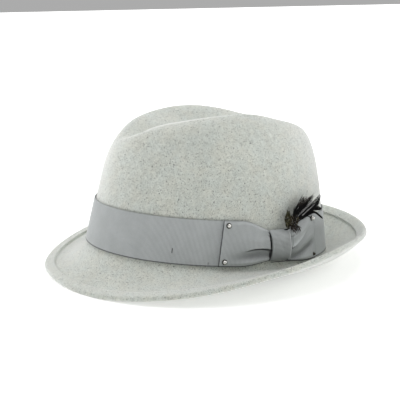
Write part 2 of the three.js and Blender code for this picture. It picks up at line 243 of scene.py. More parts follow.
class Nodes:
    # short forms for building a material, or the world
    def __init__(self, name, world=None, shader="Principled BSDF"):
        self.material = world or bpy.data.materials.new(name)
        self.material.use_nodes = True
        self.tree = self.material.node_tree
        self.shader = self.tree.nodes[shader]

    def add(self, kind, values=(), **links):
        node = self.tree.nodes.new(kind)
        for key, value in dict(values).items():
            if key in node.inputs:
                node.inputs[key].default_value = value
            else:
                setattr(node, key, value)
        for key, source in links.items():
            self.link(source, node.inputs[key.replace("_", " ")])
        return node

    def link(self, source, target):
        self.tree.links.new(source, target)

    def feed(self, socket, value):
        # a number, a colour or another node's output
        if isinstance(value, (int, float)):
            socket.default_value = value
        elif isinstance(value, tuple):
            socket.default_value = (*value, 1)
        else:
            self.link(value, socket)

    def mathOf(self, operation, a, b=None):
        node = self.add("ShaderNodeMath", {"operation": operation})
        for index, value in enumerate((a, b)):
            if value is not None:
                self.feed(node.inputs[index], value)
        return node.outputs[0]

    def ramp(self, source, stops):
        node = self.tree.nodes.new("ShaderNodeValToRGB")
        band = node.color_ramp
        while len(band.elements) < len(stops):
            band.elements.new(0.5)
        for element, (place, colour) in zip(band.elements, stops):
            element.position = place
            element.color = (*colour, 1)
        self.link(source, node.inputs["Fac"])
        return node.outputs["Color"]

    def greys(self, source, low, lowTone, high, highTone):
        return self.ramp(source, [(low, grey(lowTone)), (high, grey(highTone))])

    def times(self, a, b):
        return self.blend("MULTIPLY", 1.0, a, b)

    def attribute(self, name, output="Color"):
        return self.add("ShaderNodeAttribute", {"attribute_name": name}).outputs[output]

    def fade(self, value, start, end, before, after):
        # a soft step from one value before its start to another after its end
        values = {"interpolation_type": "SMOOTHSTEP", "From Min": start, "From Max": end, "To Min": before,
                  "To Max": after}
        return self.add("ShaderNodeMapRange", values, Value=value).outputs["Result"]

    def paint(self, colour):
        self.link(colour, self.shader.inputs["Base Color"])

    def setValues(self, values):
        for key, value in values.items():
            self.shader.inputs[key].default_value = value

    def blend(self, kind, factor, a, b):
        node = self.add("ShaderNodeMix", {"data_type": "RGBA", "blend_type": kind})
        for key, value in (("Factor", factor), ("A", a), ("B", b)):
            self.feed([s for s in node.inputs if s.name == key and s.enabled][0], value)
        return [s for s in node.outputs if s.enabled][0]

    def noise(self, vector, scale, detail=2.0, roughness=0.5, distortion=0.0):
        values = {"Scale": scale, "Detail": detail, "Roughness": roughness, "Distortion": distortion}
        return self.add("ShaderNodeTexNoise", values, Vector=vector).outputs["Fac"]

    def objectPlace(self):
        return self.tree.nodes.new("ShaderNodeTexCoord").outputs["Object"]

    def bump(self, height, strength, distance, normal=None):
        node = self.add("ShaderNodeBump", {"Strength": strength, "Distance": distance}, Height=height)
        if normal:
            self.link(normal, node.inputs["Normal"])
        return node.outputs["Normal"]


# A noise is its scale, detail, roughness and distortion, and a range is where a change starts and ends.
feltLook = dict(
    light=(0.684, 0.709, 0.653),
    dark=(0.455, 0.477, 0.431),
    speck=(0.085, 0.09, 0.085),
    fleck=(0.84, 0.86, 0.8),
    # the colour of the painted highlight along the near ridge
    ridgeHighlight=(0.92, 0.93, 0.9),
    warm=(1.0, 0.99, 0.967),
    cool=(0.973, 0.995, 1.0),
    cloudy=(60, 3),
    mottled=(330, 4, 0.6),
    fibres=(1500, 5, 0.7, 1.2),
    flecks=(900, 2, 0.5, 0.6),
    hues=(95, 2),
    mottledShare=0.35,
    toneRange=(0.34, 0.6),
    fleckRange=(0.6, 0.68),
    fleckShare=0.4,
    hueRange=(0.35, 0.65),
    napBump=(0.5, 0.00035),  # strength and depth
    mottledBump=(0.25, 0.0005),
    cloudTones=(0.3, 0.93, 0.7, 1),  # from a value to its tone, and to another value and its tone
    roughness=(0.2, 0.85, 0.8, 1),
)

# Dark spots of three sizes: noise, range and how dark they are.
darkSpots = [
    ((760, 3, 0.6, 0.8), (0.33, 0.4), 0.56),
    ((1250, 2, 0.5, 0.4), (0.335, 0.385), 0.85),
    ((520, 1, 0.5, 0.3), (0.24, 0.28), 0.9),
]


def feltMaterial():
    m = Nodes("melange wool felt")
    place = m.objectPlace()
    mottled = m.noise(place, *feltLook["mottled"])
    fibres = m.noise(place, *feltLook["fibres"])
    share = feltLook["mottledShare"]
    tone = m.mathOf("ADD", m.mathOf("MULTIPLY", mottled, share), m.mathOf("MULTIPLY", fibres, 1 - share))
    low, high = feltLook["toneRange"]
    colour = m.ramp(tone, [(low, feltLook["dark"]), (high, feltLook["light"])])
    for kind, (low, high), share in darkSpots:
        spot = m.greys(m.noise(place, *kind), low, 1, high, 0)
        colour = m.blend("MIX", m.mathOf("MULTIPLY", spot, share), colour, feltLook["speck"])
    low, high = feltLook["fleckRange"]
    paleSpot = m.greys(m.noise(place, *feltLook["flecks"]), low, 0, high, 1)
    colour = m.blend("MIX", m.mathOf("MULTIPLY", paleSpot, feltLook["fleckShare"]), colour, feltLook["fleck"])
    low, high = feltLook["hueRange"]
    hues = m.noise(place, *feltLook["hues"])
    colour = m.times(colour, m.ramp(hues, [(low, feltLook["warm"]), (high, feltLook["cool"])]))
    cloudy = m.noise(place, *feltLook["cloudy"])
    colour = m.times(colour, m.greys(cloudy, *feltLook["cloudTones"]))
    # painted highlight: the near ridge's line is mixed towards a pale colour
    m.paint(m.blend("MIX", m.attribute("ridgeHighlight", "Fac"), colour, feltLook["ridgeHighlight"]))
    m.link(m.greys(fibres, *feltLook["roughness"]), m.shader.inputs["Roughness"])
    nap = m.bump(fibres, *feltLook["napBump"])
    m.link(m.bump(mottled, *feltLook["mottledBump"], nap), m.shader.inputs["Normal"])
    m.setValues({"Specular IOR Level": 0.2, "Sheen Weight": 1.0, "Sheen Roughness": 0.5})
    return m.material


ribbonLook = dict(
    # crest and groove: a rib's colour, with painted shade darkening the grooves between ribs
    crest=(0.494, 0.52, 0.52),
    grooveShade=(0.264, 0.281, 0.284),
    # dark is the colour of the dark edge marks, mostly painted shade, and pale that of the painted highlight
    # on the knot's edge
    dark=(0.02, 0.021, 0.023),
    pale=(0.72, 0.74, 0.745),
    crestFrom=0.55,
    silkAlong=500,  # how fine the threads of silk are, along and across
    silkAcross=6500,
    silkRise=0.35,  # against a rib's own height
    silkNoise=(1.0, 3, 0.6),
    silkTones=(0.25, 0.84, 0.75, 1.1),
    uneven=(90, 3),
    unevenTones=(0.3, 0.93, 0.7, 1.04),
    bump=(0.6, 0.00012),
    markFade=0.00025,
)


def ribbonMaterial(name, marks, folded=False):
    # U of the piece's own map runs along the ribbon and V across it, both in metres. Each mark is a line
    # along an edge or across a tab's end that takes another colour: painted shade at the lower edges and
    # tabs' ends, a darker line at the upper edges, and a painted highlight along the knot's edge.
    # A folded piece has its own foldShade: painted shade deep in its folds, beside the knot and over the
    # knot, most towards its lower side, and a painted highlight on the lips of its creases.
    m = Nodes(name)
    split = m.add("ShaderNodeSeparateXYZ", Vector=m.tree.nodes.new("ShaderNodeUVMap").outputs["UV"])
    along, across = split.outputs["X"], split.outputs["Y"]
    turn = m.mathOf("MULTIPLY", along, 2 * math.pi / ribPitch)
    rib = m.mathOf("MULTIPLY_ADD", m.mathOf("COSINE", turn), 0.5)
    rib.node.inputs[2].default_value = 0.5
    silkAlong = m.mathOf("MULTIPLY", along, ribbonLook["silkAlong"])
    silkAcross = m.mathOf("MULTIPLY", across, ribbonLook["silkAcross"])
    threads = m.add("ShaderNodeCombineXYZ", X=silkAlong, Y=silkAcross)
    silk = m.noise(threads.outputs["Vector"], *ribbonLook["silkNoise"])
    uneven = m.noise(m.objectPlace(), *ribbonLook["uneven"])
    # painted shade: the grooves between ribs are darker than the crests
    colour = m.ramp(rib, [(0.0, ribbonLook["grooveShade"]), (ribbonLook["crestFrom"], ribbonLook["crest"])])
    colour = m.times(colour, m.greys(silk, *ribbonLook["silkTones"]))
    colour = m.times(colour, m.greys(uneven, *ribbonLook["unevenTones"]))
    for mark in marks:
        place = along if mark["axis"] == "U" else across
        off = m.mathOf("ABSOLUTE", m.mathOf("SUBTRACT", place, mark["at"]))
        share = m.fade(off, mark["half"], mark["half"] + ribbonLook["markFade"], mark["strength"], 0.0)
        if mark["dotted"]:
            dots = m.mathOf("SUBTRACT", 1.0, m.mathOf("MULTIPLY", rib, mark["dotted"]))
            share = m.mathOf("MULTIPLY", share, dots)
        colour = m.blend("MIX", share, colour, ribbonLook[mark["colour"]])
    # painted shade and painted highlight, from foldShade
    if folded:
        colour = m.times(colour, m.attribute("foldShade"))
    m.paint(colour)
    height = m.mathOf("ADD", rib, m.mathOf("MULTIPLY", silk, ribbonLook["silkRise"]))
    m.link(m.bump(height, *ribbonLook["bump"]), m.shader.inputs["Normal"])
    m.setValues({"Roughness": 0.5, "Specular IOR Level": 0.45, "Sheen Weight": 0.2, "Sheen Roughness": 0.35})
    return m.material


def markAt(axis, at, half, colour="dark", strength=0.8, dotted=0.0):
    return {"axis": axis, "at": at, "half": half, "colour": colour, "strength": strength, "dotted": dotted}


def studMaterial():
    m = Nodes("polished nickel")
    wear = m.noise(m.objectPlace(), 2600, 3)
    m.paint(m.ramp(wear, [(0.3, (0.7, 0.69, 0.65)), (0.7, (0.9, 0.89, 0.86))]))
    m.link(m.greys(wear, 0.3, 0.1, 0.8, 0.24), m.shader.inputs["Roughness"])
    m.setValues({"Metallic": 1.0})
    return m.material


def collarMaterial():
    m = Nodes("dark brass")
    wear = m.noise(m.objectPlace(), 2200, 3)
    m.paint(m.ramp(wear, [(0.35, (0.015, 0.014, 0.012)), (0.75, (0.12, 0.105, 0.07))]))
    m.setValues({"Metallic": 1.0, "Roughness": 0.4})
    return m.material


def featherMaterial():
    m = Nodes("barred feather")
    streak = m.noise(m.objectPlace(), 1800, 2)
    m.paint(m.times(m.attribute("barbTint"), m.greys(streak, 0.3, 0.75, 0.7, 1.15)))
    m.setValues({"Roughness": 0.6, "Specular IOR Level": 0.06})
    return m.material


def threadMaterial():
    m = Nodes("dark thread")
    twist = m.noise(m.objectPlace(), 4000, 2)
    m.paint(m.ramp(twist, [(0.3, (0.02, 0.02, 0.022)), (0.7, (0.07, 0.07, 0.075))]))
    m.setValues({"Roughness": 0.8})
    return m.material


felt = feltMaterial()
thread = threadMaterial()
nickel = studMaterial()
darkMetal = collarMaterial()
plumage = featherMaterial()
print("materials ready")

# Felt body

feltShape = dict(
    weltFrom=1.15,  # the fold's cut edge lies this far out, as a share of the crown's oval
    weltSharp=math.radians(50),
    weltCrease=0.75,
    unevenness=0.0007,
    dentHalfWidth=0.026,
    dentHalfLength=0.062,
    dentSoftening=3,
    dentAbove=0.07,
    dentMiddle=-0.006,
    softening=0.5,
    waveSize=0.03,
    wavesAboveBand=(0.002, 0.03),
    brimWaves=(1.12, 1.3),
    brimWaveShare=0.5,
    offTable=(0.001, 0.006),
)

# The pinch of the near ridge. Turns are in degrees about the dent's middle, from the front to the left.
ridge = dict(
    sectors=240,
    spread=5,  # sectors to each side that a place on the ridge is averaged over
    topAbove=0.085,
    topWithin=0.075,
    moveWithin=0.08,
    rise=0.0013,
    width=0.0019,
    starts=(2, 18),
    dies=(95, 135),
    # painted highlight along the ridge: strength, width, offset outside the top, where it starts and dies
    ridgeHighlight=0.8,
    highlightWidth=0.0012,
    highlightOutside=0.0005,
    highlightStarts=(3, 14),
    highlightDies=(35, 110),
)


def crownShare(point):
    place = headPlace(point)
    return math.hypot(place.x / hat["crownSide"], place.y / hat["crownFront"])


def inDent(point):
    # the dent's floor and lower sides, short of its ridge
    place = headPlace(point)
    across = place.x / feltShape["dentHalfWidth"]
    ahead = (place.y - feltShape["dentMiddle"]) / feltShape["dentHalfLength"]
    return place.z > feltShape["dentAbove"] and math.hypot(across, ahead) < 1


def pinchRidge(piece):
    # the near ridge is pinched to a crisp line from the front to over the bow, and in front it is given
    # a pale painted highlight
    sectors, spread = ridge["sectors"], ridge["spread"]
    tops, places = {}, []
    for vertex in piece.data.vertices:
        place = headPlace(vertex.co)
        x, y = place.x, place.y - feltShape["dentMiddle"]
        away, turn = math.hypot(x, y), math.degrees(math.atan2(x, -y)) % 360
        places.append((place.z, away, turn))
        if place.z > ridge["topAbove"] and away < ridge["topWithin"]:
            sector = int(turn * sectors / 360)
            if place.z > tops.get(sector, (0, 0))[0]:
                tops[sector] = (place.z, away)
    rough = [tops.get(sector, (0, 0))[1] for sector in range(sectors)]
    ring = []
    for sector in range(sectors):
        near = [rough[(sector + k) % sectors] for k in range(-spread, spread + 1)]
        ring.append(sum(near) / len(near))
    upward = headTurn @ Vector((0, 0, 1))
    tones = []
    for vertex, (height, away, turn) in zip(piece.data.vertices, places):
        pale = 0
        if height >= ridge["topAbove"] and away <= ridge["moveWithin"]:
            sector = turn * sectors / 360
            low = int(sector) % sectors
            top = mix(ring[low], ring[(low + 1) % sectors], sector - int(sector))
            reach = smooth(turn, *ridge["starts"]) * (1 - smooth(turn, *ridge["dies"]))
            vertex.co += upward * ridge["rise"] * reach * bell(away, top, ridge["width"])
            # painted highlight: a pale line just outside the ridge's top, in front
            reach = smooth(turn, *ridge["highlightStarts"]) * (1 - smooth(turn, *ridge["highlightDies"]))
            pale = ridge["ridgeHighlight"] * reach * bell(away, top + ridge["highlightOutside"], ridge["highlightWidth"])
        tones.append(grey(pale))
    paintPoints(piece, "ridgeHighlight", tones)


def makeFelt():
    piece = copyOfNode("felt_body", "felt_shell")
    makeActive(piece)
    setMode("EDIT")
    bpy.ops.mesh.select_mode(type="EDGE")
    bpy.ops.mesh.edges_select_sharp(sharpness=feltShape["weltSharp"])
    setMode("OBJECT")
    vertices = piece.data.vertices
    for edge in piece.data.edges:
        middle = (vertices[edge.vertices[0]].co + vertices[edge.vertices[1]].co) / 2
        if edge.select and crownShare(middle) < feltShape["weltFrom"]:
            edge.select = False
    setMode("EDIT")
    bpy.ops.transform.edge_crease(value=feltShape["weltCrease"])
    bpy.ops.mesh.select_all(action="DESELECT")
    bpy.ops.mesh.select_mode(type="VERT")
    setMode("OBJECT")
    for vertex in vertices:
        vertex.select = inDent(vertex.co)
    setMode("EDIT")
    bpy.ops.mesh.vertices_smooth(factor=feltShape["softening"], repeat=feltShape["dentSoftening"])
    bpy.ops.mesh.select_all(action="DESELECT")
    setMode("OBJECT")
    refine(piece, "smooth felt")
    pinchRidge(piece)
    group = piece.vertex_groups.new(name="uneven")
    for vertex in piece.data.vertices:
        aboveBand = headPlace(vertex.co).z - hat["bandHeight"]
        onCrown = smooth(aboveBand, *feltShape["wavesAboveBand"])
        onBrim = smooth(crownShare(vertex.co), *feltShape["brimWaves"]) * feltShape["brimWaveShare"]
        onBrim *= smooth(vertex.co.z, *feltShape["offTable"])
        group.add([vertex.index], max(onCrown, onBrim), "REPLACE")
    clouds = bpy.data.textures.new("felt unevenness", "CLOUDS")
    clouds.noise_scale = feltShape["waveSize"]
    waves = piece.modifiers.new("uneven", "DISPLACE")
    waves.texture = clouds
    waves.texture_coords = "LOCAL"
    waves.strength = feltShape["unevenness"]
    waves.mid_level = 0.5
    waves.vertex_group = "uneven"
    applyAll(piece)
    piece.vertex_groups.clear()
    shadeSmooth(piece)
    finishPiece(piece, "felt_body", felt)


makeFelt()
print("felt body made")

# Hat band

band = dict(
    backEnd=0.031,  # from the knot's middle, both ends under the tabs
    frontEnd=0.037,
    standoff=0.0004,
    thickness=0.0008,
    ribDepth=0.00011,
    edgeScallop=0.00012,
    clear=0.0003,  # the band starts this far above the brim's root
    rows=10,
    edgeShare=0.01,
    lowWave=(0.0002, 41),  # height and waves to the metre, fading towards the upper edge
    wave=(0.00015, 97, 2),
)


def makeBand():
    length = roundLength - band["backEnd"] - band["frontEnd"]
    width = hat["bandHeight"] - band["clear"]
    columns = 2 * round(length / ribPitch)
    piece = ribbonGrid("band_ribbon", length, width, columns, band["rows"])
    for vertex in piece.data.vertices:
        u, v = vertex.co.x, vertex.co.y
        onRib = round(u / length * columns) % 2 == 0
        rib = band["ribDepth"] if onRib else 0
        atEdge = band["edgeScallop"] if onRib else 0
        share = v / width
        height = band["clear"] + v
        if min(share, 1 - share) < band["edgeShare"]:
            height += atEdge if share > 0.5 else -atEdge
        (lowHigh, lowRate), (high, rate, start) = band["lowWave"], band["wave"]
        lift = lowHigh * math.sin(u * lowRate) * (1 - share) + high * math.sin(u * rate + start)
        standoff = band["standoff"] + band["thickness"] + rib + max(lift, 0)
        vertex.co = onWall(band["backEnd"] + u, height, standoff)
    thicken(piece, band["thickness"])
    shadeSmooth(piece, creaseAngle)
    edges = [
        # painted shadow: a dark, dotted line along the lower edge, where the band stands off the felt
        markAt("V", 0, 0.0008, strength=1.0, dotted=0.45),
        markAt("V", hat["bandHeight"], 0.00045, strength=0.5, dotted=0.5),
    ]
    finishPiece(piece, "hat_band", ribbonMaterial("grosgrain band", edges))


makeBand()
print("band made")

# Bow

bow = dict(
    knotWidth=0.0187,
    knotHeight=0.024,
    knotDepth=0.0066,
    knotRise=0.0035,
    knotAhead=(0.0098, 0.0112),  # the knot's edge ahead of its middle: at half its height, and at its ends
    knotBehind=(0.0089, 0.0079),
    tabStart=0.00955,
    tabThickness=0.0022,
    puff=0.0028,
    inner=0.0016,  # the tabs' inner side, off the felt
    gap=0.0003,
    ribbon=0.0006,
    ribDepth=0.00011,
    rows=96,
)
knotTop = bow["knotRise"] + bow["knotHeight"]

tabShape = dict(
    opens=(-0.12, 0.62),  # where it widens from the knot to the ribbon's own width, as shares of its length
    highAtKnot=0.001,  # below the knot's top
    puffShare=0.5,
    puffFade=(0.05, 1),
    hem=0.09,
    hemSeat=0.62,
    tuckFrom=-0.0006,
    thinnest=0.0009,
    hidden=0.0035,  # how far the ribbon goes on under the knot
    turnSwell=0.6,
    endSink=0.02,
    edgeScallop=0.00012,
    slitAt=-0.1,
    edgeShare=0.005,
)
tabLight = dict(
    slitAt=-0.15,
    slitWidth=1.1,  # against the slit's own
    underReach=4.5,
    underFade=(0.05, 0.34),
    shineReach=5,
    knotFade=(0.0004, 0.0024),
)


# Each path runs along a tab by shares of its length, at heights in millimetres. A fold is a soft swell or
# hollow and a crease is a slit under a lip, with sizes in millimetres. Both die out within their fade.
def fold(path, width, depth, fade):
    return dict(path=path, width=width, depth=depth, fade=fade)


# a crease's shade is painted shade in its slit, under painted shade below it, and shine a painted highlight
# on its lip
def crease(path, fade, slit, shade, lip=0.3, drop=0.2, reach=1.2, width=0.32, under=0.2, shine=0):
    return dict(path=path, fade=fade, slit=slit, shade=shade, lip=lip, drop=drop, reach=reach, width=width,
                under=under, shine=shine)


frontTab = dict(
    node="bow_front_tab",
    name="front_tab_ribbon",
    direction=-1,
    length=0.0415,
    slant=0.003,
    rise=0.0,
    endShade=0.97,
    endHalf=0.0005,
    lowAtKnot=0.0045,
    # half the width of the painted shade along the lower edge
    lowEdgeShade=0.0007,
    seat=0.0014,
    tuck=0.0034,
    knotShade=0.15,
    hollowShade=0.42,
    folds=[
        fold([(0, 17.5), (0.3, 19.5), (0.8, 21)], 4.2, 1.2, (0.2, 0.8)),
        fold([(0, 4.5), (0.5, 3)], 2.2, 0.7, (0.2, 0.8)),
        fold([(0, 9.2), (0.3, 9), (0.7, 7)], 3.4, -1.6, (0.35, 1)),
    ],
    creases=[
        crease([(0, 12.3), (0.12, 13.3), (0.22, 13.7), (0.37, 13.5), (0.54, 11.8), (0.75, 9.5)], (0.3, 0.62),
               2.2, 0.93, lip=2.0, drop=1.2, reach=3.2, width=0.42, under=0.55, shine=0.07),
        crease([(0, 24.4), (0.14, 27.6)], (0.04, 0.15), 1.3, 0.75, lip=0.4, width=0.34),
        crease([(0, 22.3), (0.12, 24.2)], (0.04, 0.13), 1.2, 0.7, width=0.34),
        crease([(0, 19.4), (0.14, 20.6)], (0.02, 0.12), 1.0, 0.55),
        crease([(0, 8.4), (0.14, 8.0)], (0.02, 0.12), 0.8, 0.5),
    ],
)
backTab = dict(
    node="bow_back_tab",
    name="back_tab_ribbon",
    direction=1,
    length=0.0325,
    slant=0.0,
    rise=0.0014,
    endShade=0.8,
    endHalf=0.0006,
    lowAtKnot=0.0022,
    # half the width of the painted shade along the lower edge
    lowEdgeShade=0.0011,
    seat=0.0029,
    tuck=0.002,
    knotShade=0.0,
    hollowShade=0.52,
    folds=[
        fold([(0, 20), (0.3, 24), (0.7, 30)], 3.4, 1.6, (0.45, 0.95)),
        fold([(0, 3), (0.3, 6.8), (0.6, 10.4), (1, 15)], 2.8, -2.2, (0.75, 1.05)),
        fold([(0, 11), (0.45, 15.5), (1, 21)], 2.6, 0.8, (0.5, 1)),
        fold([(0.3, 1), (0.9, 4)], 3.0, 0.9, (0.6, 1)),
        fold([(0, 6.5), (0.3, 5)], 4.0, -0.5, (0.12, 0.42)),
    ],
    creases=[
        crease([(0, 12.4), (0.13, 14.6), (0.22, 16.2), (0.44, 20.6), (0.65, 24.5)], (0.3, 0.66), 2.0, 0.9,
               lip=2.2, drop=0.6, reach=3.4, width=0.42, under=0.26, shine=0.5),
        crease([(0, 21.5), (0.14, 23.5)], (0.02, 0.14), 0.9, 0.4, width=0.34, under=0.1),
    ],
)


def knotEdge(direction, height):
    across = (height - bow["knotRise"]) / bow["knotHeight"]
    ends = min(abs(2 * across - 1), 1) ** 2
    middle, end = bow["knotAhead"] if direction < 0 else bow["knotBehind"]
    return mix(middle, end, ends)


def pathHeight(path, along):
    for (low, lowHeight), (high, highHeight) in zip(path, path[1:]):
        if along <= high:
            return mix(lowHeight, highHeight, max(along - low, 0) / (high - low))
    return path[-1][1]


def ribAt(u):
    return 0.5 + 0.5 * math.cos(2 * math.pi * u / ribPitch)


def tabPlace(tab, along, across):
    opened = smooth(along, *tabShape["opens"])
    low = mix(tab["lowAtKnot"], bow["gap"], opened)
    high = mix(knotTop - tabShape["highAtKnot"], hat["bandHeight"] + tab["rise"], opened)
    length = tab["length"] + tab["slant"] * (0.5 - across)
    return tab["direction"] * (bow["tabStart"] + length * along), mix(low, high, across)


def offKnot(tab, along, height):
    return bow["tabStart"] + tab["length"] * along - knotEdge(tab["direction"], height)


def over(row, along, height):
    # how far a place lies above a fold or crease, in millimetres, and how strong that still is there
    return height * 1000 - pathHeight(row["path"], along), 1 - smooth(along, *row["fade"])


def tabFolds(tab, along, height):
    # how far the folds lift a place on the tab, in metres
    total = 0
    for row in tab["folds"]:
        above, strength = over(row, along, height)
        total += row["depth"] * strength * bell(above, 0, row["width"])
    for row in tab["creases"]:
        above, strength = over(row, along, height)
        side = row["lip"] if above > 0 else -row["drop"]
        total += strength * side * math.exp(-abs(above) / row["reach"])
        total -= strength * row["slit"] * bell(above, tabShape["slitAt"], row["width"])
    return total / 1000


def tabShade(tab, along, height):
    # the light that a place keeps: less in creases, in hollows and beside the knot, and more on the lips
    dark, bright = 0, 0
    for row in tab["creases"]:
        above, strength = over(row, along, height)
        slit = bell(above, tabLight["slitAt"], row["width"] * tabLight["slitWidth"])
        dark = max(dark, strength * row["shade"] * slit)
        if above < 0:
            near = math.exp(above / tabLight["underReach"]) * (1 - smooth(along, *tabLight["underFade"]))
            dark = max(dark, row["under"] * near)
        else:
            bright = max(bright, row["shine"] * strength * math.exp(-above / tabLight["shineReach"]))
    for row in tab["folds"]:
        if row["depth"] < 0:
            above, strength = over(row, along, height)
            dark = max(dark, tab["hollowShade"] * strength * bell(above, 0, row["width"]))
    away = offKnot(tab, along, height)
    dark = max(dark, tab["knotShade"] * (1 - smooth(away, *tabLight["knotFade"])))
    return (1 + bright) * (1 - dark)


def tabSurface(tab, along, across):
    # the outer face of the tab's front layer, off the felt
    _, height = tabPlace(tab, along, across)
    puff = bow["puff"] * tabShape["puffShare"] * (1 - smooth(along, *tabShape["puffFade"]))
    hem = smooth(min(across, 1 - across), 0, tabShape["hem"])
    tucked = smooth(offKnot(tab, along, height), tabShape["tuckFrom"], tab["tuck"])
    high = bow["tabThickness"] + puff + tabFolds(tab, along, height)
    low = mix(bow["tabThickness"] * tabShape["hemSeat"], tab["seat"], hem)
    return bow["inner"] + max(mix(low, high, hem * tucked), tabShape["thinnest"])


def makeTab(tab):
    # one length of ribbon, folded back on itself at the tab's end
    hidden, wide = tabShape["hidden"], hat["bandHeight"] + tab["rise"]
    reach = tab["length"] + hidden
    turnLength = math.pi * bow["tabThickness"] / 2
    total = 2 * reach + turnLength
    columns = 4 * round(total / ribPitch)
    piece = ribbonGrid(tab["name"], total, wide, columns, bow["rows"])
    tones = []
    for vertex in piece.data.vertices:
        u, across = vertex.co.x, vertex.co.y / wide
        rib = bow["ribDepth"] * ribAt(u)
        scallop = tabShape["edgeScallop"] * (2 * ribAt(u) - 1)
        edge = 0
        if min(across, 1 - across) < tabShape["edgeShare"]:
            edge = scallop if across > 0.5 else -scallop
        radius = (tabSurface(tab, 1, across) - bow["inner"]) / 2
        light = 1.0
        if u < reach:
            along = (u - hidden) / tab["length"]
            distance, height = tabPlace(tab, along, across)
            light = tabShade(tab, along, height)
            standoff = tabSurface(tab, along, across) + rib
            standoff -= tabShape["endSink"] * max(u - reach + radius, 0)
        elif u < reach + turnLength:
            angle = (u - reach) / turnLength * math.pi
            distance, height = tabPlace(tab, 1, across)
            distance += tab["direction"] * radius * tabShape["turnSwell"] * math.sin(angle)
            standoff = bow["inner"] + radius + (radius + rib) * math.cos(angle)
        else:
            along = 1 - (u - reach - turnLength) / tab["length"]
            distance, height = tabPlace(tab, along, across)
            standoff = bow["inner"]
        vertex.co = onWall(distance, height + edge, standoff)
        tones.append(grey(light))
    # the painted shade and painted highlight of the folds and creases, kept as foldShade
    paintPoints(piece, "foldShade", tones)
    if tab["direction"] < 0:
        editAll(piece, bpy.ops.mesh.flip_normals)
    thicken(piece, bow["ribbon"])
    shadeSmooth(piece, creaseAngle)
    # painted shade along the lower edge and across the folded end, where the tab stands off, and a darker
    # line along the top edge
    edges = [
        markAt("V", 0, tab["lowEdgeShade"], strength=0.97, dotted=0.2),
        markAt("V", wide, 0.0003, strength=0.45, dotted=0.5),
        markAt("U", reach + turnLength * 0.25, tab["endHalf"], strength=tab["endShade"]),
    ]
    finishPiece(piece, tab["node"], ribbonMaterial("grosgrain " + tab["name"], edges, folded=True))


for row in (frontTab, backTab):
    makeTab(row)
print("tabs made")


knot = dict(
    squareness=2.9,  # of the section's rounded oblong
    steps=400,
    rows=40,
    lift=0.0005,
    belly=(0.26, 0.74),
    edgeSink=0.0003,
    edgeWidth=0.0007,
    creases=[(0.0002, 0.794, -0.7, 0.07), (0.00015, 0.72, -0.1, 0.08)],  # depth, place, slant and width
    creaseFrom=(0.2, 0.4),
    light=0.92,
    lowShade=0.36,
    lowFade=(0.03, 0.5),
    middleShade=0.12,
    middleAcross=(0.55, 0.2),
    middleUp=(0.5, 0.14),
)


def makeKnot():
    # a short strip that goes up round the bow's middle, from under its lower side to behind its upper one
    power, steps = 2 / knot["squareness"], knot["steps"]
    profile = []
    for step in range(steps + 1):
        turn = math.pi * step / steps
        across = 0.5 - 0.5 * math.copysign(abs(math.cos(turn)) ** power, math.cos(turn))
        profile.append((across, math.sin(turn) ** power))
    lengths = [0.0]
    for (a0, d0), (a1, d1) in zip(profile, profile[1:]):
        lengths.append(lengths[-1] + math.hypot((a1 - a0) * bow["knotHeight"], (d1 - d0) * bow["knotDepth"]))
    total = lengths[-1]
    columns = 4 * round(total / ribPitch)
    piece = ribbonGrid("knot_ribbon", total, bow["knotWidth"], columns, knot["rows"])
    tones = [grey(1)] * len(piece.data.vertices)
    place = 0
    for vertex in sorted(piece.data.vertices, key=lambda vertex: vertex.co.x):
        u, v = vertex.co.x, vertex.co.y / bow["knotWidth"]
        while place < steps - 1 and lengths[place + 1] < u:
            place += 1
        share = (u - lengths[place]) / (lengths[place + 1] - lengths[place])
        across = mix(profile[place][0], profile[place + 1][0], share)
        deep = mix(profile[place][1], profile[place + 1][1], share)
        belly = math.sin(math.pi * mix(*knot["belly"], v)) ** 0.5
        edge = knot["edgeSink"] * (1 - smooth(min(v, 1 - v) * bow["knotWidth"], 0, knot["edgeWidth"]))
        creased = 0
        for depth, middle, slant, wide in knot["creases"]:
            creased += depth * bell(v, middle + slant * across, wide)
        sunk = edge + creased * smooth(across, *knot["creaseFrom"]) * deep
        high = (bow["knotDepth"] - knot["lift"]) * deep * belly + bow["ribDepth"] * ribAt(u)
        height = mix(bow["knotRise"], knotTop, across)
        distance = mix(-knotEdge(-1, height), knotEdge(1, height), v)
        vertex.co = onWall(distance, height, bow["gap"] + knot["lift"] + high - sunk)
        light = knot["light"] - knot["lowShade"] * (1 - smooth(across, *knot["lowFade"]))
        light -= knot["middleShade"] * bell(v, *knot["middleAcross"]) * bell(across, *knot["middleUp"])
        tones[vertex.index] = grey(light)
    # painted shade over the knot, most towards its lower side and in its middle, kept as foldShade
    paintPoints(piece, "foldShade", tones)
    editAll(piece, bpy.ops.mesh.flip_normals)
    thicken(piece, bow["ribbon"])
    shadeSmooth(piece, creaseAngle)
    # painted highlight: a pale line along the knot's edge by the back tab
    edges = [markAt("V", bow["knotWidth"], 0.0011, "pale", 0.85)]
    finishPiece(piece, "bow_knot", ribbonMaterial("grosgrain knot", edges, folded=True))


makeKnot()
print("knot made")

stud = dict(
    collar=0.00182,
    thick=0.00034,
    sunk=0.3,  # how much of its thickness the collar stands off the tab
    # stud 3 takes the dark metal and a smaller size
    darkStud=3,
    darkStudSize=0.66,
)


